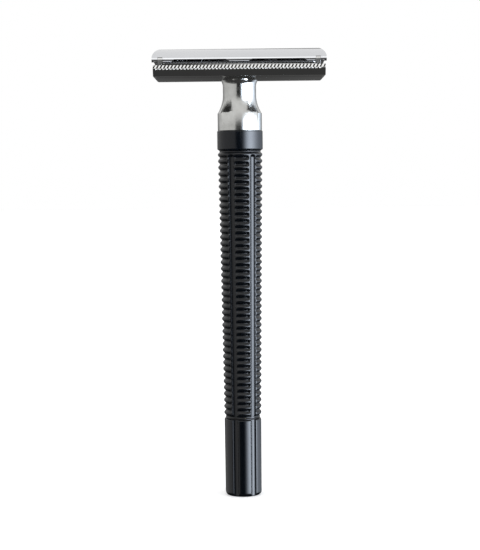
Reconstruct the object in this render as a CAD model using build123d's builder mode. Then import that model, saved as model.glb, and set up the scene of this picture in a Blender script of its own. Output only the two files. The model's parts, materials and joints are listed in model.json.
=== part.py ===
from build123d import *
from math import asin, degrees, sin, sqrt
import os

os.makedirs("parts", exist_ok=True)

# Long-handled double-edge safety razor whose two cap doors open when the knob is turned.
# Millimetres. +Z runs up the handle, X runs along the head, the front is -Y, and the origin
# is the centre of the knob's rest face.

# ---------------------------------------------------------------- fits and clearances
running_clearance = 0.03    # radial, a pin or journal that turns in its hole
sliding_clearance = 0.06    # radial, a rod that slides in its hole
blade_clearance = 0.03      # between the blade and what clamps it
side_clearance = 0.05       # along X, beside each hinge ear
drop_clearance = 0.15       # between the raised pieces and the floor of the guard plate

# ---------------------------------------------------------------- knob
knob_length = 19.7
knob_foot_radius = 4.65
knob_top_radius = 4.725
knob_foot_round = 0.85
knob_top_round = 0.3
core_radius = 2.9
core_depth = 13.5           # how far the metal core reaches into the knob
washer_thickness = 0.25
washer_radius = 3.9

# ---------------------------------------------------------------- handle
knob_gap = 0.4              # knob to sleeve
sleeve_length = 67.9
sleeve_top_radius = 5.65
rib_count = 42
rib_pitch = 1.6
rib_depth = 0.45
rib_land = 0.28             # flat at the foot of each groove
first_crest = 1.1           # first crest above the sleeve's lower end
collar_length = 4.9
collar_radius = 5.75
collar_round = 0.35
tube_outer_radius = 3.3
tube_inner_radius = 2.6

flute_count = 6
flute_first_angle = -55.0   # azimuth of the first flute, counter-clockwise from +X
flute_radius = 1.15
flute_depth = 0.48
flute_top_margin = 0.9      # plain stretch between a flute's round end and the collar
sleeve_flute_skips = (1, 4)  # flutes at the two sides, which the knob has and the sleeve leaves out

# ---------------------------------------------------------------- knob bearing and lift screw
bush_wall = 0.37
bush_length = 7.0
ring_groove_depth = 0.35
retaining_ring_thickness = 0.5
retaining_ring_gap = 0.15   # ring to the tube's wall
journal_end = 2.4           # journal above the retaining ring
screw_radius = 1.1
screw_reach = 14.0          # screw above the journal
screw_seat = 4.0            # screw inside the journal
nut_gap = 0.3               # nut to the tube's wall
nut_length = 16.0
nut_start = 3.6             # nut above the journal when the doors are shut
rod_radius = 1.25
rod_socket = 4.0            # rod inside the nut
rod_stub_radius = 0.9
rod_stub_length = 1.5

# ---------------------------------------------------------------- neck
ring_length = 4.3
ring_radius = 5.575
ring_chamfer = 0.1
neck_length = 8.15
neck_root_half_width = 5.53
neck_root_half_depth = 5.66
waist_half_width = 4.17
waist_half_depth = 4.75
neck_flare_height = 4.6
neck_top_flare = 0.4
neck_top_flare_height = 1.5
flare_steps = 6
spigot_length = 8.0
boss_radius = 2.4
boss_rise = 0.8             # boss above the underside of the guard plate

# ---------------------------------------------------------------- guard plate and tray
tray_depth = 0.65
tray_inset = 1.05           # tray's end inside the head's end
tray_bend_radius = 60.0
guard_inset = 0.35          # guard plate's end inside the head's end
guard_half_width = 12.4     # at the bars' nose, before it is rounded
guard_floor = 0.8
guard_height = 2.7
guard_underside_inset = 1.0
nose_rise = 1.8             # widest line of the bars above the guard plate's underside
nose_round = 0.5
crest_inset = 0.7           # crest of the bars inside their widest line
bar_width = 1.2
bar_top_round = 0.15
rail_inner = 8.2            # rails under the blade, distances from the centre line
rail_outer = 10.3
rail_overrun = 0.1          # rails past the end of the blade's edge
guard_rib_pitch = 0.87
guard_rib_gap = 0.4
guard_rib_depth = 0.25
guard_rib_reach = 1.7       # length of one groove, past both ends of the slope
guard_rib_lean = 22.0       # degrees from upright

# ---------------------------------------------------------------- blade
blade_length = 43.0         # the head is as long as the blade
blade_width = 22.0
blade_thickness = 0.1
blade_tab_length = 2.9      # narrow tab past each end of the edges
blade_tab_width = 14.8
blade_bend_radius = 60.0    # top surface of the clamped blade
blade_crown = 4.3           # top of the blade above the underside of the guard plate
blade_slot_length = 33.6
blade_slot_width = 1.7
blade_window_radius = 2.6
blade_window_offset = 11.4
blade_corner_round = 0.4
slot_clearance = 0.2        # rib and lugs in the blade's openings

# ---------------------------------------------------------------- centre bar and brackets
bar_half_width = 3.4
bar_base = 1.5              # underside of the centre bar above the guard plate's underside
bar_rib_rise = 1.05         # rib above the blade
lug_rise = 0.75
bracket_thickness = 1.1
bracket_beam = 1.3
bracket_gap = 0.1           # bracket below the blade's tab
rivet_radius = 0.45
rivet_head_radius = 0.85
rivet_head = 0.3
rivet_depth = 2.2
rivet_offset = 1.7          # rivets, distance from the centre line

# ---------------------------------------------------------------- doors
hinge_offset = 9.9          # hinge axes, distance from the centre line
knuckle_radius = 0.57
ear_inset = 0.02            # hinge ear inside the lip's radius
ear_gap = 0.3               # hinge ear past the end of the blade's edge
ear_relief = 0.1
pin_radius = 0.3
pin_inboard = 1.65          # pin past the inner face of its ear
pin_recess = 0.25           # pin's end inside the door's end
door_thickness = 0.7
door_gap = 0.1              # between the two doors when shut
dome_rise = 3.05            # top of the doors above the blade
door_end_inset = 1.6        # how far the door's end comes in towards the top
door_end_bulge = 0.42
end_wall_rise = 0.2         # end wall above the middle of the blade
window_rise = 0.1           # lip of the windows above the hinge axis
lobe_slant = 1.15           # how much narrower a lobe is at its foot, each side
centre_lobe_half_width = 3.25
end_lobe_length = 2.9       # end lobe up to the hinge ear
end_lobe_slant = 0.85

# ---------------------------------------------------------------- heights and places worked out
sleeve_bottom = knob_length + knob_gap
collar_bottom = sleeve_bottom + sleeve_length
collar_top = collar_bottom + collar_length
ring_top = collar_top + ring_length
tray_bottom = ring_top + neck_length
guard_bottom = tray_bottom + tray_depth
guard_top = guard_bottom + guard_height
floor_top = guard_bottom + guard_floor
blade_top = guard_bottom + blade_crown
bend_centre = blade_top - blade_bend_radius
blade_half_span = blade_bend_radius * sin(blade_width / 2 / blade_bend_radius)
blade_inside_radius = blade_bend_radius - blade_thickness
dome_top = blade_top + dome_rise
head_length = blade_length
blade_edge_length = blade_length - 2 * blade_tab_length
guard_length = head_length - 2 * guard_inset
tray_length = head_length - 2 * tray_inset
rail_length = blade_edge_length + 2 * rail_overrun
guard_rib_count = int(guard_length / guard_rib_pitch)
ear_start = blade_edge_length / 2 + ear_gap
ear_radius = knuckle_radius - ear_inset

hinge_reach = blade_bend_radius + knuckle_radius + blade_clearance
hinge_height = bend_centre + sqrt(hinge_reach**2 - hinge_offset**2)
ear_end = ear_start + bracket_thickness
dome_lift = dome_top - hinge_height
dome_radius = (hinge_offset**2 + dome_lift**2 - knuckle_radius**2) / (2 * (dome_lift - knuckle_radius))
dome_centre = dome_top - dome_radius
lip_angle = degrees(asin(hinge_offset / (dome_radius - knuckle_radius)))

journal_radius = tube_inner_radius - bush_wall - running_clearance
retaining_ring_radius = tube_inner_radius - retaining_ring_gap
nut_radius = tube_inner_radius - nut_gap
bush_top = sleeve_bottom + bush_length
retaining_bottom = bush_top + side_clearance
journal_top = retaining_bottom + retaining_ring_thickness + journal_end
screw_bottom = journal_top - screw_seat
screw_top = journal_top + screw_reach
nut_bottom = journal_top + nut_start
nut_top = nut_bottom + nut_length
rod_bottom = nut_top - rod_socket
bar_bottom = guard_bottom + bar_base
rod_top = bar_bottom


def wall_radius(height):
    """Radius of the sleeve over its crests at a height."""
    share = (height - sleeve_bottom) / sleeve_length
    return knob_top_radius + share * (sleeve_top_radius - knob_top_radius)


def flute_cutter(low_radius, low_height, high_radius, high_height, overrun):
    """Round-ended bar that cuts one flute on the +X side of a tapered wall."""
    offset = flute_radius - flute_depth
    low = Vector(low_radius + offset, 0, low_height)
    high = Vector(high_radius + offset, 0, high_height)
    direction = (high - low).normalized()
    start = low - direction * overrun
    with BuildPart(mode=Mode.PRIVATE) as cutter:
        with BuildSketch(Plane(origin=start, z_dir=direction)):
            Circle(flute_radius)
        extrude(amount=(high - start).length)
        with Locations(high):
            Sphere(flute_radius)
    return cutter.part


def flute_angles():
    return [flute_first_angle + 360 / flute_count * index for index in range(flute_count)]


# ================================================================ knob group
knob_flute = flute_cutter(
    knob_foot_radius, 0, knob_top_radius, knob_length + 2 * flute_radius, 2 * flute_radius
)

with BuildPart() as twist_knob:
    with BuildSketch(Plane.XZ):
        with BuildLine():
            Polyline(
                (0, 0),
                (knob_foot_radius, 0),
                (knob_top_radius, knob_length),
                (core_radius, knob_length),
                (core_radius, knob_length - core_depth),
                (0, knob_length - core_depth),
                close=True,
            )
        make_face()
    revolve(axis=Axis.Z)
    outer_edges = twist_knob.edges().filter_by(GeomType.CIRCLE)
    fillet(outer_edges.filter_by(lambda edge: edge.center().Z < knob_foot_round), radius=knob_foot_round)
    top_edges = twist_knob.edges().filter_by(GeomType.CIRCLE)
    fillet(
        top_edges.filter_by(lambda edge: edge.radius > core_radius and edge.center().Z > knob_length / 2),
        radius=knob_top_round,
    )
    for angle in flute_angles():
        add(knob_flute.rotate(Axis.Z, angle), mode=Mode.SUBTRACT)
twist_knob.part.label = "twist_knob"
export_step(twist_knob.part, "parts/twist_knob.step")

with BuildPart() as knob_core:
    with BuildSketch(Plane.XZ):
        with BuildLine():
            Polyline(
                (0, knob_length - core_depth),
                (core_radius, knob_length - core_depth),
                (core_radius, knob_length),
                (journal_radius, knob_length),
                (journal_radius, retaining_bottom),
                (journal_radius - ring_groove_depth, retaining_bottom),
                (journal_radius - ring_groove_depth, retaining_bottom + retaining_ring_thickness),
                (journal_radius, retaining_bottom + retaining_ring_thickness),
                (journal_radius, journal_top),
                (screw_radius, journal_top),
                (screw_radius, screw_bottom),
                (0, screw_bottom),
                close=True,
            )
        make_face()
    revolve(axis=Axis.Z)
knob_core.part.label = "knob_core"
export_step(knob_core.part, "parts/knob_core.step")

with BuildPart() as drive_screw:
    with BuildSketch(Plane.XY.offset(screw_bottom)):
        Circle(screw_radius)
    extrude(amount=screw_top - screw_bottom)
    chamfer(drive_screw.edges().sort_by(Axis.Z)[-1], length=screw_radius / 3)
drive_screw.part.label = "drive_screw"
export_step(drive_screw.part, "parts/drive_screw.step")

with BuildPart() as retaining_ring:
    with BuildSketch(Plane.XY.offset(retaining_bottom)):
        Circle(retaining_ring_radius)
        Circle(journal_radius - ring_groove_depth, mode=Mode.SUBTRACT)
        with Locations((retaining_ring_radius, 0)):
            Rectangle(2 * retaining_ring_radius, journal_radius - ring_groove_depth, mode=Mode.SUBTRACT)
    extrude(amount=retaining_ring_thickness)
retaining_ring.part.label = "retaining_ring"
export_step(retaining_ring.part, "parts/retaining_ring.step")

with BuildPart() as thrust_washer:
    with BuildSketch(Plane.XY.offset(knob_length)):
        Circle(washer_radius)
        Circle(journal_radius + running_clearance, mode=Mode.SUBTRACT)
    extrude(amount=washer_thickness)
thrust_washer.part.label = "thrust_washer"
export_step(thrust_washer.part, "parts/thrust_washer.step")

# ================================================================ handle group
with BuildPart() as bearing_bush:
    with BuildSketch(Plane.XY.offset(sleeve_bottom)):
        Circle(tube_inner_radius)
        Circle(journal_radius + running_clearance, mode=Mode.SUBTRACT)
    extrude(amount=bush_length)
bearing_bush.part.label = "bearing_bush"
export_step(bearing_bush.part, "parts/bearing_bush.step")

with BuildPart() as barrel_tube:
    with BuildSketch(Plane.XY.offset(sleeve_bottom)):
        Circle(tube_outer_radius)
        Circle(tube_inner_radius, mode=Mode.SUBTRACT)
    extrude(amount=collar_top - sleeve_bottom)
barrel_tube.part.label = "barrel_tube"
export_step(barrel_tube.part, "parts/barrel_tube.step")

flute_end = collar_bottom - flute_top_margin - flute_radius
sleeve_flute = flute_cutter(
    wall_radius(sleeve_bottom), sleeve_bottom, wall_radius(flute_end), flute_end, 2 * flute_radius
)

with BuildPart() as grip_sleeve:
    with BuildSketch(Plane.XZ):
        with BuildLine():
            last = (tube_outer_radius, sleeve_bottom)
            for index in range(rib_count):
                crest = sleeve_bottom + first_crest + index * rib_pitch
                foot = crest - (rib_pitch - rib_land) / 2
                head = crest + (rib_pitch - rib_land) / 2
                foot_point = (wall_radius(foot) - rib_depth, foot)
                head_point = (wall_radius(head) - rib_depth, head)
                if index == 0:
                    corner = (foot_point[0], sleeve_bottom)
                    Line(last, corner)
                    last = corner
                Line(last, foot_point)
                ThreePointArc(foot_point, (wall_radius(crest), crest), head_point)
                last = head_point
            rim = (last[0], collar_bottom)
            Polyline(last, rim, (tube_outer_radius, collar_bottom), (tube_outer_radius, sleeve_bottom))
        make_face()
    revolve(axis=Axis.Z)
    for index, angle in enumerate(flute_angles()):
        if index not in sleeve_flute_skips:
            add(sleeve_flute.rotate(Axis.Z, angle), mode=Mode.SUBTRACT)
grip_sleeve.part.label = "grip_sleeve"
export_step(grip_sleeve.part, "parts/grip_sleeve.step")

with BuildPart() as grip_collar:
    with BuildSketch(Plane.XY.offset(collar_bottom)):
        Circle(collar_radius)
        Circle(tube_outer_radius, mode=Mode.SUBTRACT)
    extrude(amount=collar_length)
    rims = grip_collar.edges().filter_by(GeomType.CIRCLE)
    fillet(rims.filter_by(lambda edge: edge.radius > tube_outer_radius), radius=collar_round)
grip_collar.part.label = "grip_collar"
export_step(grip_collar.part, "parts/grip_collar.step")

rod_hole_radius = rod_radius + sliding_clearance

with BuildPart() as neck_casting:
    # Flared neck, wider front to back than side to side, faired into the ring.
    for step in range(flare_steps + 1):
        height = neck_flare_height * step / flare_steps
        left = (1 - step / flare_steps) ** 2
        with BuildSketch(Plane.XY.offset(ring_top + height)):
            Ellipse(
                waist_half_width + left * (neck_root_half_width - waist_half_width),
                waist_half_depth + left * (neck_root_half_depth - waist_half_depth),
            )
    for step in range(flare_steps + 1):
        height = neck_length - neck_top_flare_height * (1 - step / flare_steps)
        grown = neck_top_flare * (step / flare_steps) ** 2
        with BuildSketch(Plane.XY.offset(ring_top + height)):
            Ellipse(waist_half_width + grown, waist_half_depth + grown)
    with BuildSketch(Plane.XY.offset(guard_bottom)):
        Ellipse(waist_half_width + 1.5 * neck_top_flare, waist_half_depth + 1.5 * neck_top_flare)
    loft()
    with BuildSketch(Plane.XY.offset(ring_top)):
        Circle(ring_radius)
    extrude(amount=guard_bottom - ring_top, mode=Mode.INTERSECT)
    # The top is hollowed to the tray's curved underside.
    with BuildSketch(Plane.YZ):
        with Locations((0, tray_bottom + tray_bend_radius)):
            Circle(tray_bend_radius)
    extrude(amount=ring_radius, both=True, mode=Mode.SUBTRACT)
    with BuildSketch(Plane.XY.offset(collar_top)):
        Circle(ring_radius)
    extrude(amount=ring_length)
    with BuildSketch(Plane.XY.offset(collar_top - spigot_length)):
        Circle(tube_inner_radius)
    extrude(amount=spigot_length)
    with BuildSketch(Plane.XY.offset(tray_bottom - boss_rise)):
        Circle(boss_radius)
    extrude(amount=boss_rise + tray_depth + boss_rise)
    with BuildSketch(Plane.XY.offset(collar_top - spigot_length)):
        Circle(rod_hole_radius)
    extrude(amount=guard_top - collar_top + spigot_length, mode=Mode.SUBTRACT)
neck_casting.part.label = "neck_casting"
export_step(neck_casting.part, "parts/neck_casting.step")

with BuildPart() as under_tray:
    with BuildSketch(Plane.YZ):
        with Locations((0, tray_bottom + tray_bend_radius)):
            Circle(tray_bend_radius)
        with Locations((0, guard_bottom + tray_bend_radius)):
            Rectangle(2 * tray_bend_radius, 2 * tray_bend_radius, mode=Mode.SUBTRACT)
    extrude(amount=tray_length / 2, both=True)
    with BuildSketch(Plane.XY.offset(tray_bottom)):
        Circle(boss_radius)
    extrude(amount=tray_depth, mode=Mode.SUBTRACT)
under_tray.part.label = "under_tray"
export_step(under_tray.part, "parts/under_tray.step")

with BuildPart() as guard_plate:
    with BuildSketch(Plane.YZ):
        # Floor with a leaning underside, then the two bars, which slope back above the nose.
        foot = guard_half_width - guard_underside_inset
        crest = guard_half_width - crest_inset
        nose = guard_bottom + nose_rise
        with BuildLine():
            Polyline(
                (-foot, guard_bottom),
                (foot, guard_bottom),
                (guard_half_width, nose),
                (crest, guard_top),
                (guard_half_width - bar_width, guard_top),
                (guard_half_width - bar_width, floor_top),
                (bar_width - guard_half_width, floor_top),
                (bar_width - guard_half_width, guard_top),
                (-crest, guard_top),
                (-guard_half_width, nose),
                close=True,
            )
        make_face()
        fillet([corner for corner in vertices() if abs(corner.Y - nose) < nose_round], radius=nose_round)
    extrude(amount=guard_length / 2, both=True)
    top_edges = guard_plate.edges().filter_by(Axis.X).group_by(Axis.Z)[-1]
    fillet(top_edges, radius=bar_top_round)
    # Rails whose tops follow the bent blade.
    for side in (-1, 1):
        with BuildSketch(Plane.YZ.offset(-rail_length / 2)):
            with Locations((0, bend_centre)):
                Circle(blade_inside_radius - blade_clearance)
            with Locations((side * (rail_inner + rail_outer) / 2, floor_top)):
                Rectangle(
                    rail_outer - rail_inner,
                    blade_crown,
                    align=(Align.CENTER, Align.MIN),
                    mode=Mode.INTERSECT,
                )
        extrude(amount=rail_length)
    # Leaning grooves across the slope of each bar leave its ribs.
    for side in (-1, 1):
        slope = Plane(
            origin=(0, side * (guard_half_width + crest) / 2, (nose + guard_top) / 2),
            x_dir=(1, 0, 0),
            z_dir=(0, side * (guard_top - nose), crest_inset),
        )
        with BuildSketch(slope.offset(-guard_rib_depth)):
            with GridLocations(guard_rib_pitch, 1, guard_rib_count - 1, 1):
                Rectangle(guard_rib_gap, guard_rib_reach, rotation=-guard_rib_lean)
        extrude(amount=2 * guard_rib_depth, mode=Mode.SUBTRACT)
    with BuildSketch(Plane.XY.offset(guard_bottom)):
        Circle(boss_radius)
    extrude(amount=guard_height, mode=Mode.SUBTRACT)
guard_plate.part.label = "guard_plate"
export_step(guard_plate.part, "parts/guard_plate.step")

# ================================================================ carrier group
with BuildPart() as blade:
    with BuildSketch(Plane.YZ.offset(-blade_length / 2)):
        with Locations((0, bend_centre)):
            Circle(blade_bend_radius)
            Circle(blade_inside_radius, mode=Mode.SUBTRACT)
        with Locations((0, blade_top)):
            Rectangle(2 * blade_half_span, 2 * blade_crown, mode=Mode.INTERSECT)
    extrude(amount=blade_length)
    with BuildSketch(Plane.XY.offset(guard_bottom)) as outline:
        Rectangle(blade_edge_length, 2 * blade_half_span)
        Rectangle(blade_length, blade_tab_width)
        fillet(outline.vertices(), radius=blade_corner_round)
        SlotOverall(blade_slot_length, blade_slot_width, mode=Mode.SUBTRACT)
        with GridLocations(blade_window_offset, 1, 3, 1):
            Circle(blade_window_radius, mode=Mode.SUBTRACT)
    extrude(amount=2 * blade_crown, mode=Mode.INTERSECT)
blade.part.label = "blade"
export_step(blade.part, "parts/blade.step")

with BuildPart() as centre_bar:
    # Base whose top follows the bent blade.
    with BuildSketch(Plane.YZ.offset(-ear_start)):
        with Locations((0, bend_centre)):
            Circle(blade_inside_radius - blade_clearance)
        with Locations((0, bar_bottom)):
            Rectangle(
                2 * bar_half_width, blade_crown, align=(Align.CENTER, Align.MIN), mode=Mode.INTERSECT
            )
    extrude(amount=2 * ear_start)
    with BuildSketch(Plane.XY.offset(bar_bottom)):
        SlotOverall(blade_slot_length - 2 * slot_clearance, blade_slot_width - 2 * slot_clearance)
    extrude(amount=blade_top + bar_rib_rise - bar_bottom)
    with BuildSketch(Plane.XY.offset(bar_bottom)):
        with GridLocations(blade_window_offset, 1, 3, 1):
            Circle(blade_window_radius - slot_clearance)
    extrude(amount=blade_top + lug_rise - bar_bottom)
    with BuildSketch(Plane.XY.offset(bar_bottom)):
        Circle(rod_stub_radius)
    extrude(amount=rod_stub_length, mode=Mode.SUBTRACT)
    for side in (-1, 1):
        with BuildSketch(Plane.YZ.offset(side * ear_start)):
            with Locations((-rivet_offset, bar_bottom + rivet_head_radius)):
                Circle(rivet_radius)
            with Locations((rivet_offset, bar_bottom + rivet_head_radius)):
                Circle(rivet_radius)
        extrude(amount=-side * rivet_depth, mode=Mode.SUBTRACT)
centre_bar.part.label = "centre_bar"
export_step(centre_bar.part, "parts/centre_bar.step")

bracket_bottom = floor_top + drop_clearance
beam_top = bracket_bottom + bracket_beam
post_reach = hinge_offset + ear_radius

for side, name in ((-1, "end_bracket_left"), (1, "end_bracket_right")):
    with BuildPart() as end_bracket:
        with BuildSketch(Plane.YZ.offset(side * ear_start)):
            with Locations((0, bracket_bottom)):
                Rectangle(2 * post_reach, bracket_beam, align=(Align.CENTER, Align.MIN))
            for hand in (-1, 1):
                with Locations((hand * hinge_offset, bracket_bottom)):
                    Rectangle(
                        2 * ear_radius,
                        hinge_height - bracket_bottom,
                        align=(Align.CENTER, Align.MIN),
                    )
                with Locations((hand * hinge_offset, hinge_height)):
                    Circle(ear_radius)
            # Raised middle, just under the blade's tab, where the rivets hold.
            with BuildSketch(Plane.YZ.offset(side * ear_start), mode=Mode.PRIVATE) as middle:
                with Locations((0, bend_centre)):
                    Circle(blade_inside_radius - bracket_gap)
                with Locations((0, bracket_bottom)):
                    Rectangle(
                        2 * bar_half_width,
                        blade_crown,
                        align=(Align.CENTER, Align.MIN),
                        mode=Mode.INTERSECT,
                    )
            add(middle.sketch_local)
            with Locations((-hinge_offset, hinge_height), (hinge_offset, hinge_height)):
                Circle(pin_radius, mode=Mode.SUBTRACT)
            rivet_height = bar_bottom + rivet_head_radius
            with Locations((-rivet_offset, rivet_height), (rivet_offset, rivet_height)):
                Circle(rivet_radius, mode=Mode.SUBTRACT)
        extrude(amount=side * bracket_thickness)
    end_bracket.part.label = name
    export_step(end_bracket.part, "parts/" + name + ".step")

pin_end = head_length / 2 - pin_recess
pin_start = ear_start - pin_inboard

with BuildPart() as hinge_pins:
    for side in (-1, 1):
        with BuildSketch(Plane.YZ.offset(side * pin_end)):
            with Locations((-hinge_offset, hinge_height), (hinge_offset, hinge_height)):
                Circle(pin_radius)
        extrude(amount=side * (pin_start - pin_end))
hinge_pins.part.label = "hinge_pins"
export_step(hinge_pins.part, "parts/hinge_pins.step")

with BuildPart() as bracket_rivets:
    for side in (-1, 1):
        with BuildSketch(Plane.YZ.offset(side * ear_end)):
            with Locations((-rivet_offset, rivet_height), (rivet_offset, rivet_height)):
                Circle(rivet_head_radius)
        extrude(amount=side * rivet_head)
        with BuildSketch(Plane.YZ.offset(side * ear_end)):
            with Locations((-rivet_offset, rivet_height), (rivet_offset, rivet_height)):
                Circle(rivet_radius)
        extrude(amount=-side * (rivet_depth + bracket_thickness))
bracket_rivets.part.label = "bracket_rivets"
export_step(bracket_rivets.part, "parts/bracket_rivets.step")

with BuildPart() as lift_rod:
    with BuildSketch(Plane.XY.offset(rod_bottom)):
        Circle(rod_radius)
    extrude(amount=rod_top - rod_bottom)
    with BuildSketch(Plane.XY.offset(rod_top)):
        Circle(rod_stub_radius)
    extrude(amount=rod_stub_length)
lift_rod.part.label = "lift_rod"
export_step(lift_rod.part, "parts/lift_rod.step")

with BuildPart() as rod_nut:
    with BuildSketch(Plane.XY.offset(nut_bottom)):
        Circle(nut_radius)
        Circle(screw_radius + sliding_clearance, mode=Mode.SUBTRACT)
    extrude(amount=nut_length - rod_socket)
    with BuildSketch(Plane.XY.offset(rod_bottom)):
        Circle(nut_radius)
        Circle(rod_radius, mode=Mode.SUBTRACT)
    extrude(amount=rod_socket)
rod_nut.part.label = "rod_nut"
export_step(rod_nut.part, "parts/rod_nut.step")

# ================================================================ doors
sheet_start = degrees(asin(door_gap / 2 / dome_radius))
inner_radius = dome_radius - door_thickness
window_bottom = hinge_height - knuckle_radius - blade_clearance
window_top = hinge_height + window_rise
end_lobe_start = ear_start - end_lobe_length
end_lobe_foot = end_lobe_start + end_lobe_slant
centre_lobe_foot = centre_lobe_half_width - lobe_slant
end_wall_foot = blade_top + end_wall_rise
hinge_point = (-hinge_offset, hinge_height)


def end_outline(inset):
    """Front outline of the doors, drawn in by an inset, as an open-bottomed arch closed at the guard."""
    foot = head_length / 2 - inset
    top = foot - door_end_inset
    crown = dome_top - inset
    bulge = ((foot + top) / 2 + door_end_bulge, (hinge_height + crown) / 2 + door_end_bulge)
    with BuildSketch(Plane.XZ, mode=Mode.PRIVATE) as outline:
        with BuildLine():
            right = ThreePointArc((foot, hinge_height), bulge, (top, crown))
            left = ThreePointArc((-top, crown), (-bulge[0], bulge[1]), (-foot, hinge_height))
            Line(right @ 1, left @ 0)
            Polyline(left @ 1, (-foot, guard_bottom), (foot, guard_bottom), right @ 0)
        make_face()
    return outline.sketch


with BuildPart() as hollow:
    with BuildSketch(Plane.YZ.offset(-head_length / 2)):
        with BuildLine():
            roof = CenterArc((0, dome_centre), inner_radius, 90 - lip_angle, 2 * lip_angle)
            Polyline(roof @ 1, (-hinge_offset, guard_bottom), (hinge_offset, guard_bottom), roof @ 0)
        make_face()
    extrude(amount=head_length)
    extrude(end_outline(door_thickness), amount=guard_half_width, both=True, mode=Mode.INTERSECT)

with BuildPart() as front_half:
    with BuildSketch(Plane.YZ.offset(-head_length / 2)):
        with BuildLine():
            outer = CenterArc((0, dome_centre), dome_radius, 90 + sheet_start, lip_angle - sheet_start)
            Polyline(outer @ 1, hinge_point, (-door_gap / 2, end_wall_foot), outer @ 0)
        make_face()
    extrude(amount=head_length)
    add(hollow.part, mode=Mode.SUBTRACT)
    with BuildSketch(Plane.YZ.offset(-head_length / 2)):
        with Locations(hinge_point):
            Circle(knuckle_radius)
    extrude(amount=head_length)
    extrude(end_outline(0), amount=guard_half_width, mode=Mode.INTERSECT)
    # Windows between the lobes.
    with BuildSketch(Plane.XZ.offset(hinge_offset - 2 * knuckle_radius)):
        for side in (-1, 1):
            with BuildLine():
                Polyline(
                    (side * centre_lobe_half_width, window_top),
                    (side * centre_lobe_foot, window_bottom),
                    (side * end_lobe_foot, window_bottom),
                    (side * end_lobe_start, window_top),
                    close=True,
                )
            make_face()
    extrude(amount=4 * knuckle_radius, mode=Mode.SUBTRACT)
    # Gaps for the hinge ears, and holes for the pins.
    for side in (-1, 1):
        with BuildSketch(Plane.YZ.offset(side * (ear_start - side_clearance))):
            with Locations(hinge_point):
                Circle(ear_radius + ear_relief)
        extrude(amount=side * (bracket_thickness + 2 * side_clearance), mode=Mode.SUBTRACT)
        with BuildSketch(Plane.YZ.offset(side * (pin_start - side_clearance))):
            with Locations(hinge_point):
                Circle(pin_radius + running_clearance)
        extrude(amount=side * head_length, mode=Mode.SUBTRACT)

for angle, name in ((0, "door_front"), (180, "door_rear")):
    with BuildPart() as door:
        add(front_half.part.rotate(Axis.Z, angle))
    door.part.label = name
    export_step(door.part, "parts/" + name + ".step")
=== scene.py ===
import bpy
import bmesh
import json
from math import atan2, cos, hypot, pi, radians, sin, sqrt
from mathutils import Matrix, Vector


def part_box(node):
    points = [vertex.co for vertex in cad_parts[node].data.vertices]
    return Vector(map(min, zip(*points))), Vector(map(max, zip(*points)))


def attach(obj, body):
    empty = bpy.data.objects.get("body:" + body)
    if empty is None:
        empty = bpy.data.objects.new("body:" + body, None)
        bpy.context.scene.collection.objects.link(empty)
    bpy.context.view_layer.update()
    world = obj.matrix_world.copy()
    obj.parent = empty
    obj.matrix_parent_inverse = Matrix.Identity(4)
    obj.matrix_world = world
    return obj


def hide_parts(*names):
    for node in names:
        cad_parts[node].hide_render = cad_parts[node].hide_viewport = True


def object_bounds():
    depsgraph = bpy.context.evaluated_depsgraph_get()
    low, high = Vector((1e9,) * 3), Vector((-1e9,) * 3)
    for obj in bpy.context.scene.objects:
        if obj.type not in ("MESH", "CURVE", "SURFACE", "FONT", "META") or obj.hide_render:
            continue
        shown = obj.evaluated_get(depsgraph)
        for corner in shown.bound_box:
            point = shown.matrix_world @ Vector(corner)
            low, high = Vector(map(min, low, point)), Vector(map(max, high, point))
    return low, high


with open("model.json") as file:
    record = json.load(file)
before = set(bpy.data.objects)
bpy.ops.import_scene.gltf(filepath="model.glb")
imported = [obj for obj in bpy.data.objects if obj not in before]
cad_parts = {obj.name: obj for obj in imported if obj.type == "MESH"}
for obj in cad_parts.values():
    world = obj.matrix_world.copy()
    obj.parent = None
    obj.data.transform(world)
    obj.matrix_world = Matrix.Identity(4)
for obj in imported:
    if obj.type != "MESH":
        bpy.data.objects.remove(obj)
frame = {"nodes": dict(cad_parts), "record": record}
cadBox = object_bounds()
nodes = frame["nodes"]
print("frame loaded:", len(nodes), "nodes")

mm = 0.001


def lowZ(node):
    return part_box(node)[0].z


def halfX(node):
    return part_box(node)[1].x


def halfY(node):
    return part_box(node)[1].y


def meshObject(name, bm):
    mesh = bpy.data.meshes.new(name)
    bm.normal_update()
    bm.to_mesh(mesh)
    bm.free()
    thing = bpy.data.objects.new(name, mesh)
    bpy.context.scene.collection.objects.link(thing)
    return thing


spinWeld = 1e-7    # metres within which the ends of a full spin are merged


# A closed outline of (radius, height) pairs in metres, spun into a ring.
def spinProfile(outline, steps):
    bm = bmesh.new()
    corners = [bm.verts.new((radius, 0, height)) for radius, height in outline]
    sides = [bm.edges.new((corners[i], corners[(i + 1) % len(corners)])) for i in range(len(corners))]
    bmesh.ops.spin(
        bm, geom=corners + sides, cent=(0, 0, 0), axis=(0, 0, 1), angle=2 * pi, steps=steps, use_merge=True
    )
    bmesh.ops.remove_doubles(bm, verts=bm.verts, dist=spinWeld)
    bmesh.ops.recalc_face_normals(bm, faces=bm.faces)
    return bm


def smoothShade(thing, sharpFrom):
    thing.data.shade_smooth()
    thing.data.set_sharp_from_angle(angle=radians(sharpFrom))


# Puts a finished piece on its body, in the place of the CAD nodes it stands for.
def place(thing, body, slot, material, *stands):
    thing.data.materials.clear()
    thing.data.materials.append(material)
    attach(thing, body)
    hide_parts(*stands)


# A value is a number or a colour, or another node's output.
def setInput(tree, socket, value):
    if isinstance(value, bpy.types.NodeSocket):
        tree.links.new(value, socket)
    else:
        socket.default_value = value


def addMath(tree, operation, *values):
    step = tree.nodes.new("ShaderNodeMath")
    step.operation = operation
    for socket, value in zip(step.inputs, values):
        setInput(tree, socket, value)
    return step.outputs[0]


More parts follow.
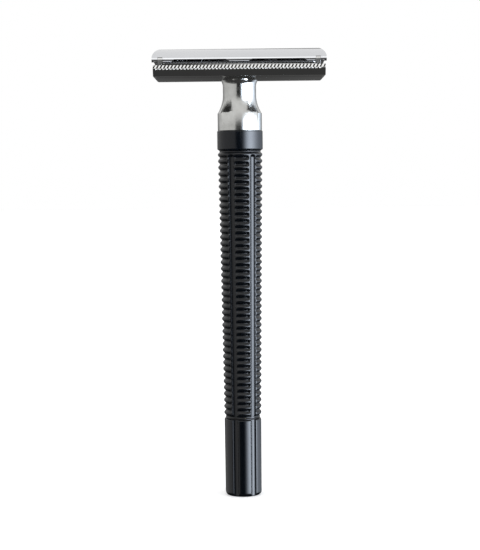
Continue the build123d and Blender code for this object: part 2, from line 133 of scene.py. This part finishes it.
# Rises smoothly from 0 at start to 1 at end.
def addFade(tree, value, start, end):
    fade = tree.nodes.new("ShaderNodeMapRange")
    fade.interpolation_type = "SMOOTHSTEP"
    fade.inputs["From Min"].default_value = start
    fade.inputs["From Max"].default_value = end
    tree.links.new(value, fade.inputs["Value"])
    return fade.outputs["Result"]


# The kind is RGBA or FLOAT.
def addMix(tree, kind, factor, first, second):
    mix = tree.nodes.new("ShaderNodeMix")
    mix.data_type = kind
    tree.links.new(factor, mix.inputs["Factor"])
    setInput(tree, mix.inputs["A"], first)
    setInput(tree, mix.inputs["B"], second)
    return mix.outputs["Result"]


def startMaterial(name):
    material = bpy.data.materials.new(name)
    material.use_nodes = True
    return material, material.node_tree, material.node_tree.nodes["Principled BSDF"]


cameraLook = {
    "distance": 0.391,
    "height": 0.0825,       # the lens stands level with the handle's upper part
    "aimHeight": 0.0563,
    "aimSide": -0.00036,
    "frameHeight": 0.1396,  # what the picture's height takes in at the razor
    "sensorLength": 24.0,   # along the picture's long side
    "roll": -0.62,          # degrees
    "clipStart": 0.01,
}


def makeCamera(look):
    cameraData = bpy.data.cameras.new("camera")
    cameraData.sensor_width = look["sensorLength"]
    cameraData.lens = look["sensorLength"] * look["distance"] / look["frameHeight"]
    cameraData.clip_start = look["clipStart"]
    camera = bpy.data.objects.new("camera", cameraData)
    bpy.context.scene.collection.objects.link(camera)
    camera.location = (look["aimSide"], -look["distance"], look["height"])
    aim = Vector((look["aimSide"], 0, look["aimHeight"])) - camera.location
    turn = aim.to_track_quat("-Z", "Y").to_matrix() @ Matrix.Rotation(radians(look["roll"]), 3, "Z")
    camera.rotation_euler = turn.to_euler()
    bpy.context.scene.camera = camera


roomLook = {
    # azimuth in degrees from the front, positive to the right, and the light seen there
    "stops": (
        (-180, 0.06), (-157, 0.26), (-125, 0.62), (-100, 0.70), (-62, 0.70), (-27, 0.60),
        (-19, 0.035), (8, 0.03), (16, 0.9), (25, 4.0), (36, 9.5), (49, 13.5), (60, 13.0),
        (71, 10.0), (85, 6.0), (98, 3.4), (114, 1.7), (135, 0.8), (158, 0.26), (180, 0.06),
    ),
    "brightest": 13.5,      # of the stops
    "daylight": (0.90, 1.0, 1.15),   # tint of the light from the right
    "daylightFrom": 8.0,
    "daylightTo": 150.0,
    "overhead": 0.84,
    "overheadFrom": 0.10,   # sines of the heights where the ceiling takes over
    "overheadTo": 0.34,
    "below": 0.05,          # what the metal sees steeply below it
    "belowFrom": -0.42,     # sines as well
    "belowTo": -0.25,
    "backdrop": (1, 1, 1, 1),        # what the camera sees past the floor
}


# The lit room is seen by the razor alone: the camera gets the plain backdrop.
def makeRoom(look):
    world = bpy.data.worlds.new("studio")
    bpy.context.scene.world = world
    world.use_nodes = True
    tree = world.node_tree
    tree.nodes.clear()
    link = tree.links.new
    coords = tree.nodes.new("ShaderNodeTexCoord")
    split = tree.nodes.new("ShaderNodeSeparateXYZ")
    link(coords.outputs["Generated"], split.inputs[0])

    frontward = addMath(tree, "MULTIPLY", split.outputs["Y"], -1.0)
    around = addMath(tree, "ARCTAN2", split.outputs["X"], frontward)
    share = tree.nodes.new("ShaderNodeMapRange")    # of the full turn
    share.inputs["From Min"].default_value = -pi
    share.inputs["From Max"].default_value = pi
    link(around, share.inputs["Value"])
    walls = tree.nodes.new("ShaderNodeValToRGB")
    link(share.outputs["Result"], walls.inputs["Fac"])
    for index, (azimuth, light) in enumerate(look["stops"]):
        position = (azimuth + 180) / 360
        if index < 2:    # a new ramp has two stops already
            stop = walls.color_ramp.elements[index]
            stop.position = position
        else:
            stop = walls.color_ramp.elements.new(position)
        level = light / look["brightest"]
        tint = look["daylight"] if look["daylightFrom"] < azimuth < look["daylightTo"] else (1, 1, 1)
        stop.color = (level * tint[0], level * tint[1], level * tint[2], 1)

    ceiling = (look["overhead"] / look["brightest"],) * 3 + (1,)
    ground = (look["below"] / look["brightest"],) * 3 + (1,)
    up = addFade(tree, split.outputs["Z"], look["overheadFrom"], look["overheadTo"])
    above = addFade(tree, split.outputs["Z"], look["belowFrom"], look["belowTo"])
    upper = addMix(tree, "RGBA", up, walls.outputs["Color"], ceiling)
    whole = addMix(tree, "RGBA", above, ground, upper)

    room = tree.nodes.new("ShaderNodeBackground")
    room.inputs["Strength"].default_value = look["brightest"]
    link(whole, room.inputs["Color"])
    backdrop = tree.nodes.new("ShaderNodeBackground")
    backdrop.inputs["Color"].default_value = look["backdrop"]
    path = tree.nodes.new("ShaderNodeLightPath")
    choose = tree.nodes.new("ShaderNodeMixShader")
    out = tree.nodes.new("ShaderNodeOutputWorld")
    link(path.outputs["Is Camera Ray"], choose.inputs["Fac"])
    link(room.outputs[0], choose.inputs[1])
    link(backdrop.outputs[0], choose.inputs[2])
    link(choose.outputs[0], out.inputs["Surface"])


# Angles in degrees from the front and from the ground, lengths in metres.
lightLook = {
    "topPanel": {"azimuth": 0, "elevation": 76, "reach": 0.60, "size": (0.50, 0.50), "watts": 0.45},
}


def makeLights(look, middle):
    for name, panel in look.items():
        lampData = bpy.data.lights.new(name, "AREA")
        lampData.shape = "RECTANGLE"
        lampData.size, lampData.size_y = panel["size"]
        lampData.energy = panel["watts"]
        lamp = bpy.data.objects.new(name, lampData)
        bpy.context.scene.collection.objects.link(lamp)
        side = radians(panel["azimuth"])
        rise = radians(panel["elevation"])
        away = Vector((sin(side) * cos(rise), -cos(side) * cos(rise), sin(rise)))
        lamp.location = middle + away * panel["reach"]
        lamp.rotation_euler = (-away).to_track_quat("-Z", "Y").to_euler()


floorLook = {
    "size": 6.0,
    "color": (0.93, 0.93, 0.93, 1),
    "roughness": 0.6,
    "specular": 0.1,
    "glowColor": (1, 1, 1, 1),
    "glow": 0.35,
}


def makeFloor(look):
    bm = bmesh.new()
    bmesh.ops.create_grid(bm, x_segments=1, y_segments=1, size=look["size"] / 2)
    floorPlane = meshObject("floor", bm)
    material, tree, shader = startMaterial("floor")
    shader.inputs["Base Color"].default_value = look["color"]
    shader.inputs["Roughness"].default_value = look["roughness"]
    shader.inputs["Specular IOR Level"].default_value = look["specular"]
    shader.inputs["Emission Color"].default_value = look["glowColor"]
    shader.inputs["Emission Strength"].default_value = look["glow"]
    gone = tree.nodes.new("ShaderNodeBsdfTransparent")   # polished metal sees past the floor
    path = tree.nodes.new("ShaderNodeLightPath")
    choose = tree.nodes.new("ShaderNodeMixShader")
    tree.links.new(path.outputs["Is Glossy Ray"], choose.inputs["Fac"])
    tree.links.new(shader.outputs[0], choose.inputs[1])
    tree.links.new(gone.outputs[0], choose.inputs[2])
    tree.links.new(choose.outputs[0], tree.nodes["Material Output"].inputs["Surface"])
    floorPlane.data.materials.append(material)


mottleLook = {
    "patchDetail": 4.0,
    "patchRoughness": 0.6,
    "grainDetail": 2.0,
    "grainShare": 0.35,   # of the grain in the mixed value
    "noiseLow": 0.3,      # the mixed noise between these two spreads from Low to High
    "noiseHigh": 0.7,
}


# Soft uneven patches plus a fine grain, from object coordinates.
def makeMottle(look):
    group = bpy.data.node_groups.new("mottle", "ShaderNodeTree")
    for socketName, value in (("Patch Scale", 300.0), ("Grain Scale", 4000.0), ("Low", 0.3), ("High", 0.4)):
        socket = group.interface.new_socket(socketName, in_out="INPUT", socket_type="NodeSocketFloat")
        socket.default_value = value
    for socketName in ("Value", "Patches", "Grain"):
        group.interface.new_socket(socketName, in_out="OUTPUT", socket_type="NodeSocketFloat")
    link = group.links.new
    enter = group.nodes.new("NodeGroupInput")
    leave = group.nodes.new("NodeGroupOutput")
    coords = group.nodes.new("ShaderNodeTexCoord")
    patches = group.nodes.new("ShaderNodeTexNoise")
    patches.inputs["Detail"].default_value = look["patchDetail"]
    patches.inputs["Roughness"].default_value = look["patchRoughness"]
    grain = group.nodes.new("ShaderNodeTexNoise")
    grain.inputs["Detail"].default_value = look["grainDetail"]
    for texture, scaleName in ((patches, "Patch Scale"), (grain, "Grain Scale")):
        link(coords.outputs["Object"], texture.inputs["Vector"])
        link(enter.outputs[scaleName], texture.inputs["Scale"])
    both = group.nodes.new("ShaderNodeMix")
    both.inputs["Factor"].default_value = look["grainShare"]
    link(patches.outputs["Fac"], both.inputs["A"])
    link(grain.outputs["Fac"], both.inputs["B"])
    spread = group.nodes.new("ShaderNodeMapRange")
    spread.inputs["From Min"].default_value = look["noiseLow"]
    spread.inputs["From Max"].default_value = look["noiseHigh"]
    link(both.outputs["Result"], spread.inputs["Value"])
    link(enter.outputs["Low"], spread.inputs["To Min"])
    link(enter.outputs["High"], spread.inputs["To Max"])
    link(spread.outputs["Result"], leave.inputs["Value"])
    link(patches.outputs["Fac"], leave.inputs["Patches"])
    link(grain.outputs["Fac"], leave.inputs["Grain"])
    return group


mottle = makeMottle(mottleLook)


# The mottle makes the roughness, the tint and the fine bumps uneven.
def makeFinish(name, shaderValues, look):
    material, tree, shader = startMaterial(name)
    link = tree.links.new
    for socketName, value in shaderValues.items():
        shader.inputs[socketName].default_value = value
    uneven = tree.nodes.new("ShaderNodeGroup")
    uneven.node_tree = mottle
    uneven.inputs["Patch Scale"].default_value = look["patchScale"]
    uneven.inputs["Grain Scale"].default_value = look["grainScale"]
    uneven.inputs["Low"].default_value = look["roughLow"]
    uneven.inputs["High"].default_value = look["roughHigh"]
    link(uneven.outputs["Value"], shader.inputs["Roughness"])
    tint = addMix(tree, "RGBA", uneven.outputs["Patches"], look["darker"] + (1,), look["lighter"] + (1,))
    link(tint, shader.inputs["Base Color"])
    bump = tree.nodes.new("ShaderNodeBump")
    bump.inputs["Strength"].default_value = look["bump"]
    bump.inputs["Distance"].default_value = look["bumpDepth"]
    link(uneven.outputs["Grain"], bump.inputs["Height"])
    link(bump.outputs["Normal"], shader.inputs["Normal"])
    return material


plastic = {"IOR": 1.45}
metal = {"Metallic": 1.0}

sleevePlastic = makeFinish("gripPlastic", plastic, {
    "patchScale": 500.0, "grainScale": 9000.0, "roughLow": 0.20, "roughHigh": 0.30,
    "darker": (0.0006, 0.0013, 0.0024), "lighter": (0.0012, 0.0023, 0.0040),
    "bump": 0.15, "bumpDepth": 0.00003,
})
knobPlastic = makeFinish("knobPlastic", plastic, {
    "patchScale": 450.0, "grainScale": 8000.0, "roughLow": 0.13, "roughHigh": 0.20,
    "darker": (0.0006, 0.0013, 0.0024), "lighter": (0.0012, 0.0023, 0.0040),
    "bump": 0.08, "bumpDepth": 0.00002,
})
collarPlastic = makeFinish("collarPlastic", plastic, {
    "patchScale": 400.0, "grainScale": 7000.0, "roughLow": 0.15, "roughHigh": 0.22,
    "darker": (0.0007, 0.0016, 0.0030), "lighter": (0.0014, 0.0028, 0.0050),
    "bump": 0.08, "bumpDepth": 0.00002,
})
neckChrome = makeFinish("neckChrome", metal, {
    "patchScale": 420.0, "grainScale": 3600.0, "roughLow": 0.07, "roughHigh": 0.25,
    "darker": (0.46, 0.46, 0.44), "lighter": (0.80, 0.80, 0.78),
    "bump": 0.34, "bumpDepth": 0.00005,
})
guardChrome = makeFinish("guardChrome", metal, {
    "patchScale": 300.0, "grainScale": 4000.0, "roughLow": 0.08, "roughHigh": 0.16,
    "darker": (0.58, 0.58, 0.57), "lighter": (0.68, 0.68, 0.67),
    "bump": 0.04, "bumpDepth": 0.00002,
})
capChrome = makeFinish("capChrome", metal, {
    "patchScale": 120.0, "grainScale": 3000.0, "roughLow": 0.07, "roughHigh": 0.13,
    "darker": (0.70, 0.71, 0.73), "lighter": (0.78, 0.79, 0.81),
    "bump": 0.02, "bumpDepth": 0.00001,
})
bladeSteel = makeFinish("bladeSteel", metal, {
    "patchScale": 90.0, "grainScale": 6000.0, "roughLow": 0.18, "roughHigh": 0.28,
    "darker": (0.52, 0.53, 0.55), "lighter": (0.62, 0.63, 0.65),
    "bump": 0.05, "bumpDepth": 0.00001,
})
innerNickel = makeFinish("innerNickel", metal, {
    "patchScale": 260.0, "grainScale": 4200.0, "roughLow": 0.12, "roughHigh": 0.24,
    "darker": (0.60, 0.60, 0.59), "lighter": (0.70, 0.70, 0.69),
    "bump": 0.06, "bumpDepth": 0.00002,
})
turnedSteel = makeFinish("turnedSteel", metal, {
    "patchScale": 260.0, "grainScale": 5200.0, "roughLow": 0.25, "roughHigh": 0.38,
    "darker": (0.36, 0.36, 0.37), "lighter": (0.48, 0.48, 0.49),
    "bump": 0.06, "bumpDepth": 0.00002,
})
# Near-black steel for the thrust washer: painted shade that keeps the seam above the knob dark.
seamShadeSteel = makeFinish("seamShadeSteel", metal, {
    "patchScale": 260.0, "grainScale": 5200.0, "roughLow": 0.35, "roughHigh": 0.5,
    "darker": (0.020, 0.020, 0.021), "lighter": (0.045, 0.045, 0.047),
    "bump": 0.06, "bumpDepth": 0.00002,
})
turnedBrass = makeFinish("turnedBrass", metal, {
    "patchScale": 260.0, "grainScale": 5200.0, "roughLow": 0.22, "roughHigh": 0.34,
    "darker": (0.55, 0.40, 0.16), "lighter": (0.70, 0.53, 0.24),
    "bump": 0.06, "bumpDepth": 0.00002,
})

# Painted shade in the guard's grooves: a dark stripe along each one, leaning as the groove does.
grooveShadeLook = {
    "pitch": 0.87 * mm,
    "lean": 22.0,              # degrees
    "share": -0.05,            # where the stripe starts on the wave from rib to groove, -1 to 1
    "softness": 0.5,
    "color": (0.030, 0.029, 0.028, 1),
    "roughness": 0.38,
    "barRise": 2.7 * mm,       # crest of the bars above the guard's underside
    "barWidth": 1.2 * mm,
    "barEdge": 0.1 * mm,       # the painted shade starts over this much past the bar's inner side
    "noseBelowTop": 0.9 * mm,
    "noseFadeFrom": 1.1,       # shares of noseBelowTop between which the painted shade starts
    "noseFadeTo": 0.8,
    "slope": 1.24,             # length along the bar's slope for each unit of height
}


# Paints shade into the guard's finish: a dark colour and a higher roughness along each groove.
def addGrooveShade(material, look):
    tree = material.node_tree
    shader = tree.nodes["Principled BSDF"]
    top = lowZ("guard_plate") + look["barRise"]
    nose = look["noseBelowTop"]
    crest = halfY("guard_plate") - look["barWidth"]
    leanTan = sin(radians(look["lean"])) / cos(radians(look["lean"]))
    coords = tree.nodes.new("ShaderNodeTexCoord")
    split = tree.nodes.new("ShaderNodeSeparateXYZ")
    tree.links.new(coords.outputs["Object"], split.inputs[0])
    x, y, z = split.outputs
    rise = addMath(tree, "SUBTRACT", z, top - nose / 2)
    lean = addMath(tree, "MULTIPLY", rise, look["slope"] * leanTan)
    handed = addMath(tree, "MULTIPLY", lean, addMath(tree, "SIGN", y))    # the rear bar leans the other way
    along = addMath(tree, "MULTIPLY", addMath(tree, "ADD", x, handed), 2 * pi / look["pitch"])
    wave = addMath(tree, "COSINE", along)
    stripe = addFade(tree, wave, look["share"], look["share"] + look["softness"])
    onSlope = addFade(tree, z, top - nose * look["noseFadeFrom"], top - nose * look["noseFadeTo"])
    onBar = addFade(tree, addMath(tree, "ABSOLUTE", y), crest, crest + look["barEdge"])
    # where the painted shade lies: on the grooves of the bars' slopes
    mask = addMath(tree, "MULTIPLY", addMath(tree, "MULTIPLY", stripe, onSlope), onBar)
    for socketName, kind, paintedShade in (
        ("Base Color", "RGBA", look["color"]),
        ("Roughness", "FLOAT", look["roughness"]),
    ):
        unshaded = shader.inputs[socketName].links[0].from_socket
        tree.links.new(addMix(tree, kind, mask, unshaded, paintedShade), shader.inputs[socketName])


# the guard's chrome gets painted shade along its grooves
addGrooveShade(guardChrome, grooveShadeLook)
print("finishes made")

finishOfSlot = {
    "grip_plastic": sleevePlastic, "collar_plastic": collarPlastic, "chromed_metal": neckChrome,
    "chromed_guard": guardChrome, "chromed_cap": capChrome, "plated_brass": innerNickel,
    "pin_steel": turnedSteel, "blade_steel": bladeSteel, "plain_steel": turnedSteel,
    "plain_brass": turnedBrass, "tube_metal": turnedSteel,
}


def paintNodes():
    slotOfNode = {row["node"]: row["material_slot"] for row in frame["record"]["subparts"]}
    for name, thing in nodes.items():
        thing.data.materials.clear()
        thing.data.materials.append(finishOfSlot[slotOfNode[name]])
    nodes["thrust_washer"].data.materials[0] = seamShadeSteel    # near black: painted shade that keeps the seam above the knob dark


fluteLook = {
    "count": 6,
    "sleeveSkips": (1, 4),  # the two sides of the sleeve have no flute
    "first": -55.0,         # degrees counter-clockwise from +X
    "radius": 1.15 * mm,
    "depth": 0.48 * mm,
    "softness": 0.10 * mm,  # how far the flute's edge is rounded
}


def softMin(a, b, width):
    gap = max(width - abs(a - b), 0) / width
    return min(a, b) - gap * gap * width / 4


# Distance from the handle's axis to the flute's floor, or None outside the flute.
def fluteRadius(angle, wall, beyond, look, skips=()):
    if abs(beyond) >= look["radius"]:
        return None
    halfWidth = sqrt(look["radius"] * look["radius"] - beyond * beyond)
    pitch = 2 * pi / look["count"]
    turned = (angle - radians(look["first"]) + pitch / 2) % (2 * pi)
    if int(turned / pitch) in skips:
        return None
    off = turned % pitch - pitch / 2
    centre = wall + look["radius"] - look["depth"]
    across = centre * sin(off)
    if abs(across) >= halfWidth:
        return None
    return centre * cos(off) - sqrt(halfWidth * halfWidth - across * across)


sleeveLook = {
    "ribs": 42,
    "pitch": 1.6 * mm,
    "firstCrest": 1.1 * mm,      # above the sleeve's lower end
    "depth": 0.46 * mm,
    "grooveHalfWidth": 0.70 * mm,
    "shortHalfLength": 2.15 * mm,
    "shortShift": 0.22 * mm,     # the short ladders lie a little nearer to one flute
    "longEndGap": 1.45 * mm,     # the long ladders' straight stretch ends this far from a flute's middle
    "topMargin": 0.9 * mm,       # between the flutes and the sleeve's upper end
    "boreWall": 0.2 * mm,        # what is nearer to the bore than this stays round
    "rowsPerRib": 10,
    "steps": 180,
    "sharpFrom": 60,
}


# How far past the straight stretch of its ladder of grooves a point lies, measured round the sleeve.
# The long ladders go round the two sides, and the short ones lie between the front and rear pairs of flutes.
def ladderOverrun(angle, wall, look):
    half = pi / fluteLook["count"]
    fromFirst = angle - radians(fluteLook["first"])
    side = abs((fromFirst - 2 * half + pi / 2) % pi - pi / 2)
    if side < 2 * half:
        return max(side * wall - (2 * half * wall - look["longEndGap"]), 0)
    front = (fromFirst + half + look["shortShift"] / wall + pi / 2) % pi - pi / 2
    return max(abs(front) * wall - (look["shortHalfLength"] - look["grooveHalfWidth"]), 0)


def makeSleeve(look):
    low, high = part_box("grip_sleeve")
    bore = halfX("barrel_tube")
    lowRadius = halfY("twist_knob")
    highRadius = halfY("grip_sleeve")
    length = high.z - low.z
    fluteEnd = high.z - look["topMargin"] - fluteLook["radius"]
    firstGroove = low.z + look["firstCrest"] - 0.5 * look["pitch"]

    def wallAt(height):
        return lowRadius + (highRadius - lowRadius) * (height - low.z) / length

    rows = int(round(length / look["pitch"] * look["rowsPerRib"]))
    outline = [(bore, low.z)]
    outline += [(wallAt(low.z + length * row / rows), low.z + length * row / rows) for row in range(rows + 1)]
    outline += [(bore, high.z)]
    bm = spinProfile(outline, look["steps"])
    for vertex in bm.verts:
        x, y, z = vertex.co
        radius = hypot(x, y)
        if radius < bore + look["boreWall"]:
            continue
        angle = atan2(y, x)
        wall = wallAt(z)
        groove = min(max(round((z - firstGroove) / look["pitch"]), 0), look["ribs"])
        up = z - (firstGroove + groove * look["pitch"])
        along = ladderOverrun(angle, wall, look)
        if groove in (0, look["ribs"]):
            along = 0.0  # the end grooves run all the way round
        reach = min(hypot(along, up) / look["grooveHalfWidth"], 1)
        newRadius = wall - look["depth"] * 0.5 * (1 + cos(pi * reach))
        flute = fluteRadius(angle, wall, max(z - fluteEnd, 0), fluteLook, fluteLook["sleeveSkips"])
        if flute is not None:
            newRadius = softMin(newRadius, flute, fluteLook["softness"])
        vertex.co = (x / radius * newRadius, y / radius * newRadius, z)
    sleeve = meshObject("gripSleeve", bm)
    smoothShade(sleeve, look["sharpFrom"])
    place(sleeve, "handle", "grip_plastic", sleevePlastic, "grip_sleeve")


knobLook = {
    "footRadius": 4.65 * mm,
    "footRound": 0.9 * mm,
    "topRound": 0.3 * mm,
    "roundSteps": 6,
    "axisGap": 0.001 * mm,    # the outline starts this far from the axis
    "axisWeld": 0.002 * mm,   # and the ring it leaves is merged
    "boreWall": 0.2 * mm,     # what is nearer to the bore than this stays round
    "rows": 40,
    "steps": 240,
    "sharpFrom": 50,
}


def makeKnob(look):
    low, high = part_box("twist_knob")
    bore = halfX("knob_core")
    boreFloor = lowZ("knob_core")
    footRadius = look["footRadius"]
    topRadius = high.y
    foot = look["footRound"]
    top = look["topRound"]
    quarter = [pi / 2 * step / look["roundSteps"] for step in range(look["roundSteps"] + 1)]
    outline = [(look["axisGap"], low.z)]
    outline += [(footRadius - foot + foot * sin(turn), low.z + foot - foot * cos(turn)) for turn in quarter]
    for row in range(1, look["rows"]):
        share = row / look["rows"]
        height = low.z + foot + (high.z - top - low.z - foot) * share
        outline.append((footRadius + (topRadius - footRadius) * share, height))
    outline += [(topRadius - top + top * cos(turn), high.z - top + top * sin(turn)) for turn in quarter]
    outline += [(bore, high.z), (bore, boreFloor), (look["axisGap"], boreFloor)]
    bm = spinProfile(outline, look["steps"])
    bmesh.ops.remove_doubles(bm, verts=bm.verts, dist=look["axisWeld"])
    bmesh.ops.recalc_face_normals(bm, faces=bm.faces)
    for vertex in bm.verts:
        x, y, z = vertex.co
        radius = hypot(x, y)
        if radius < bore + look["boreWall"]:
            continue
        wall = footRadius + (topRadius - footRadius) * (z - low.z) / (high.z - low.z)
        flute = fluteRadius(atan2(y, x), wall, 0, fluteLook)
        if flute is not None:
            newRadius = softMin(radius, flute, fluteLook["softness"])
            vertex.co = (x / radius * newRadius, y / radius * newRadius, z)
    knob = meshObject("twistKnob", bm)
    smoothShade(knob, look["sharpFrom"])
    place(knob, "knob", "grip_plastic", knobPlastic, "twist_knob")


metalLook = {
    "weld": 0.0005 * mm,
    "flat": 0.4,              # degrees under which two faces become one
    "round": 0.06 * mm,
    "thinRound": 0.03 * mm,   # on the end brackets
    "collarRound": 0.12 * mm,
    "roundSegments": 2,
    "sharpFrom": 32.0,
}


# A CAD piece again as one welded mesh, with small rounds along its edges.
def makeWelded(node, name, body, slot, look, roundName="round"):
    bm = bmesh.new()
    bm.from_mesh(nodes[node].data)
    bmesh.ops.remove_doubles(bm, verts=bm.verts, dist=look["weld"])
    bmesh.ops.dissolve_limit(bm, angle_limit=radians(look["flat"]), verts=bm.verts, edges=bm.edges)
    thing = meshObject(name, bm)
    edge = thing.modifiers.new("edge", "BEVEL")
    edge.width = look[roundName]
    edge.segments = look["roundSegments"]
    edge.limit_method = "ANGLE"
    edge.angle_limit = radians(look["sharpFrom"])
    edge.harden_normals = True
    edge.use_clamp_overlap = True
    smoothShade(thing, look["sharpFrom"])
    place(thing, body, slot, finishOfSlot[slot], node)


def makeMetalwork(look):
    makeWelded("neck_casting", "neck", "handle", "chromed_metal", look)
    makeWelded("under_tray", "tray", "handle", "chromed_guard", look)
    makeWelded("guard_plate", "guard", "handle", "chromed_guard", look)
    makeWelded("grip_collar", "collar", "handle", "collar_plastic", look, "collarRound")
    makeWelded("centre_bar", "centreBar", "carrier", "plated_brass", look)
    makeWelded("end_bracket_left", "leftBracket", "carrier", "plated_brass", look, "thinRound")
    makeWelded("end_bracket_right", "rightBracket", "carrier", "plated_brass", look, "thinRound")
    makeWelded("door_front", "frontDoor", "front_door", "chromed_cap", look)
    makeWelded("door_rear", "rearDoor", "rear_door", "chromed_cap", look)


paintNodes()
makeMetalwork(metalLook)
print("metalwork made")
makeSleeve(sleeveLook)
makeKnob(knobLook)
print("handle plastic made")

makeFloor(floorLook)
makeCamera(cameraLook)
makeRoom(roomLook)
makeLights(lightLook, Vector((0, 0, (cadBox[0][2] + cadBox[1][2]) / 2)))
bpy.context.scene.view_settings.view_transform = "Standard"
print("camera, room and lights made")
